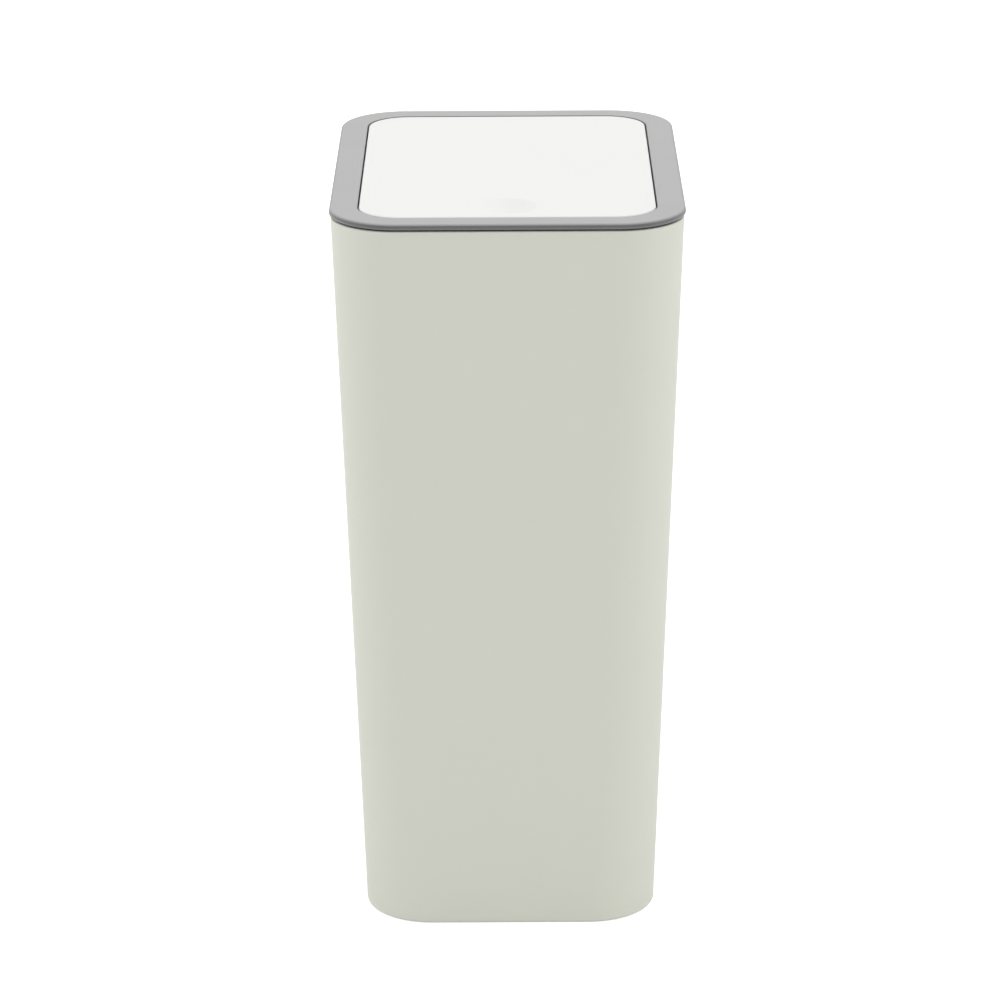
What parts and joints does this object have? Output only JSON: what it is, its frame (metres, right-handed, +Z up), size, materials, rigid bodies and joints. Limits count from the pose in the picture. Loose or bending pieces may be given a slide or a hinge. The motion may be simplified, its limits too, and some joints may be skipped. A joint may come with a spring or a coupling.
{
  "type": "push top countertop bin",
  "caption": "Tapered countertop bin with a drop-in rim frame and a flush lid on side hinge pins, pressed at the front to release a push latch.",
  "frame": {"origin": "centre of the footprint, on the surface that the bin stands on", "axes": "+Z up, -Y towards the user, at the end of the lid with the finger dish, +X to the right as the user sees it"},
  "size_m": [0.15, 0.204, 0.321],
  "materials": {
    "pail_plastic": "satin",
    "bezel_plastic": "satin",
    "chassis_plastic": "matte",
    "lid_plastic": "satin",
    "latch_plastic": "satin",
    "plunger_plastic": "satin",
    "steel": "satin"
  },
  "bodies": {
    "bin": {"pail": "pail_plastic"},
    "frame": {"rim_bezel": "bezel_plastic", "inner_chassis": "chassis_plastic", "latch_housing": "latch_plastic", "latch_screws": "steel", "latch_spring": "steel", "latch_cam_wire": "steel", "torsion_spring_left": "steel", "torsion_spring_right": "steel"},
    "hinge_pins": {"hinge_pin_left": "steel", "hinge_pin_right": "steel"},
    "lid": {"lid_cover": "lid_plastic", "lid_carrier": "lid_plastic", "lid_screws": "steel", "latch_striker": "latch_plastic", "striker_screws": "steel"},
    "latch_plunger": {"latch_plunger": "plunger_plastic"}
  },
  "joints": [
    {"name": "frame_lift", "type": "slide", "parent": "bin", "child": "frame", "axis": [0, 0, 1], "range_m": [0, 0.06]},
    {"name": "lid_press", "type": "hinge", "parent": "frame", "child": "hinge_pins", "pos_m": [0, 0.0525, 0.3145], "axis": [-1, 0, 0], "range_deg": [-1.2, 0], "stiffness_Nm_per_rad": 12, "springref_deg": 2.29},
    {"name": "lid_open", "type": "hinge", "parent": "hinge_pins", "child": "lid", "pos_m": [0, 0.0525, 0.3145], "axis": [-1, 0, 0], "range_deg": [0, 78], "stiffness_Nm_per_rad": 0.022, "springref_deg": 120.32, "deforming": ["torsion_spring_left", "torsion_spring_right"]},
    {"name": "plunger_slide", "type": "slide", "parent": "frame", "child": "latch_plunger", "axis": [0, 0, 1], "range_m": [-0.00284, 0], "deforming": ["latch_spring"]}
  ],
  "couplings": [
    {"joint": "plunger_slide", "follows": "lid_press", "m_per_rad": 0.13549}
  ]
}
